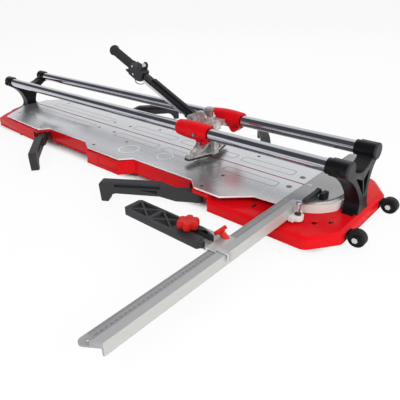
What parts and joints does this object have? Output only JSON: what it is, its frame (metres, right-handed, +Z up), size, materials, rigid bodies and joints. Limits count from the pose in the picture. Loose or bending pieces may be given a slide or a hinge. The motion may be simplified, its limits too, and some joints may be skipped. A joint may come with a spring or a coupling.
{
  "type": "manual tile cutter",
  "caption": "Long manual rail tile cutter with a sliding scoring and breaking head on a lever, sprung table plates, swing-out arms and a swivelling ruler with a side stop.",
  "frame": {"origin": "on the floor, under the middle of the base, at the bottom of the middle rubber foot", "axes": "+X along the rails towards the ruler, +Y across to the far side, +Z up"},
  "size_m": [1.677, 1.1201, 0.3681],
  "materials": {
    "red_paint": "gloss",
    "plate_aluminium": "mill",
    "rail_chrome": "polished",
    "black_casting": "satin",
    "black_plastic": "satin",
    "red_plastic": "satin",
    "rubber": "matte",
    "wheel_tyre": "matte",
    "steel": "zinc",
    "cast_aluminium": "as cast",
    "bronze": "turned",
    "ruler_aluminium": "satin anodised",
    "cream_paint": "satin"
  },
  "bodies": {
    "base": {"base_frame": "red_paint", "cross_members": "steel", "centre_beam": "steel", "breaking_bar": "red_paint", "front_support": "black_casting", "rear_support": "black_casting", "rail_left": "rail_chrome", "rail_right": "rail_chrome", "rail_caps": "black_plastic", "support_bolts": "steel", "rear_trim": "black_plastic", "rubber_feet": "rubber", "wheel_brackets": "black_casting", "wheel_axles": "steel", "arm_pivots": "steel", "plate_screws": "steel", "plate_stops": "rubber", "buffers_left": "rubber", "buffers_right": "rubber", "swivel_base": "cream_paint"},
    "table_left": {"plate_left_rear": "plate_aluminium", "plate_left_front": "plate_aluminium"},
    "table_right": {"plate_right_rear": "plate_aluminium", "plate_right_front": "plate_aluminium"},
    "transport_wheel_left": {"wheel_left": "wheel_tyre"},
    "transport_wheel_right": {"wheel_right": "wheel_tyre"},
    "swing_arm_rear_left": {"arm_rear_left": "black_plastic"},
    "swing_arm_front_left": {"arm_front_left": "black_plastic"},
    "swing_arm_rear_right": {"arm_rear_right": "black_plastic"},
    "swing_arm_front_right": {"arm_front_right": "black_plastic"},
    "carriage": {"housing_left": "red_paint", "housing_right": "red_paint", "rail_bushes": "bronze", "carriage_bridge": "cast_aluminium", "carriage_bolts": "steel", "lever_pin": "steel"},
    "head": {"head_shaft": "rail_chrome", "breaker_foot": "cast_aluminium", "breaker_pads": "rubber", "wheel_holder": "steel"},
    "scorer": {"scoring_wheel": "steel"},
    "lever": {"lever_hub": "black_casting", "lever_tube": "black_casting", "pull_rod": "steel", "clamp_block": "black_plastic", "clamp_roller": "rail_chrome", "clamp_rivets": "steel", "lever_grip": "rubber"},
    "trigger": {"trigger": "black_plastic"},
    "ruler": {"swivel_plate": "ruler_aluminium", "ruler_bar": "ruler_aluminium", "ruler_far": "ruler_aluminium", "index_boss": "cream_paint", "clamp_post": "black_casting"},
    "plunger": {"index_plunger": "rail_chrome"},
    "clamp_lever": {"clamp_lever": "black_plastic"},
    "side_stop": {"stop_bracket": "steel"},
    "fence": {"stop_fence": "black_plastic"},
    "star_knob": {"star_knob": "red_plastic"},
    "side_knob": {"side_knob": "red_plastic"}
  },
  "joints": [
    {"name": "table_left_press", "type": "slide", "parent": "base", "child": "table_left", "axis": [0, 0, 1], "range_m": [-0.0015, 0], "stiffness_N_per_m": 20000, "springref_m": 0.004, "deforming": ["buffers_left"]},
    {"name": "table_right_press", "type": "slide", "parent": "base", "child": "table_right", "axis": [0, 0, 1], "range_m": [-0.0015, 0], "stiffness_N_per_m": 20000, "springref_m": 0.004, "deforming": ["buffers_right"]},
    {"name": "wheel_left_spin", "type": "hinge", "parent": "base", "child": "transport_wheel_left", "pos_m": [0.84, -0.1, 0.0297], "axis": [0, 1, 0], "continuous": true},
    {"name": "wheel_right_spin", "type": "hinge", "parent": "base", "child": "transport_wheel_right", "pos_m": [0.84, 0.1, 0.0297], "axis": [0, 1, 0], "continuous": true},
    {"name": "arm_rear_left_swing", "type": "hinge", "parent": "base", "child": "swing_arm_rear_left", "pos_m": [-0.375, -0.178, 0.037], "axis": [0, 0, 1], "range_deg": [-53, 33]},
    {"name": "arm_front_left_swing", "type": "hinge", "parent": "base", "child": "swing_arm_front_left", "pos_m": [0.423, -0.178, 0.037], "axis": [0, 0, 1], "range_deg": [-30, 58]},
    {"name": "arm_rear_right_swing", "type": "hinge", "parent": "base", "child": "swing_arm_rear_right", "pos_m": [-0.375, 0.178, 0.037], "axis": [0, 0, 1], "range_deg": [-41, 45]},
    {"name": "arm_front_right_swing", "type": "hinge", "parent": "base", "child": "swing_arm_front_right", "pos_m": [0.423, 0.178, 0.037], "axis": [0, 0, 1], "range_deg": [-40, 48]},
    {"name": "carriage_slide", "type": "slide", "parent": "base", "child": "carriage", "axis": [1, 0, 0], "range_m": [-0.965, 0.3]},
    {"name": "lever_swing", "type": "hinge", "parent": "carriage", "child": "lever", "pos_m": [0.257, 0, 0.18], "axis": [0, 1, 0], "range_deg": [-18, 48], "stiffness_Nm_per_rad": 5, "springref_deg": 25.78},
    {"name": "head_press", "type": "slide", "parent": "carriage", "child": "head", "axis": [0, 0, 1], "range_m": [-0.0046, 0.0122]},
    {"name": "scorer_spin", "type": "hinge", "parent": "head", "child": "scorer", "pos_m": [0.318, 0, 0.089], "axis": [0, 1, 0], "continuous": true},
    {"name": "trigger_squeeze", "type": "hinge", "parent": "lever", "child": "trigger", "pos_m": [-0.01455, 0, 0.28402], "axis": [0, 1, 0], "range_deg": [0, 8], "stiffness_Nm_per_rad": 0.4, "springref_deg": -11.46},
    {"name": "ruler_swivel", "type": "hinge", "parent": "base", "child": "ruler", "pos_m": [0.662, 0, 0.07], "axis": [0, 0, 1], "range_deg": [0, 45]},
    {"name": "plunger_drop", "type": "slide", "parent": "ruler", "child": "plunger", "axis": [0, 0, 1], "range_m": [-0.009, 0]},
    {"name": "clamp_release", "type": "hinge", "parent": "ruler", "child": "clamp_lever", "pos_m": [0.706, -0.04, 0.083], "axis": [-1, 0, 0], "range_deg": [0, 15]},
    {"name": "stop_slide", "type": "slide", "parent": "ruler", "child": "side_stop", "axis": [0, 1, 0], "range_m": [-0.29, 0.15]},
    {"name": "star_knob_turn", "type": "hinge", "parent": "side_stop", "child": "star_knob", "pos_m": [0.572, -0.375, 0.09], "axis": [0, 0, 1], "continuous": true},
    {"name": "side_knob_turn", "type": "hinge", "parent": "side_stop", "child": "side_knob", "pos_m": [0.64351, -0.346, 0.08349], "axis": [-0.7071, 0, 0.7071], "continuous": true},
    {"name": "fence_adjust", "type": "slide", "parent": "side_stop", "child": "fence", "axis": [1, 0, 0], "range_m": [-0.03, 0]}
  ],
  "couplings": [
    {"joint": "head_press", "follows": "lever_swing", "m_per_rad": 0.0143}
  ]
}
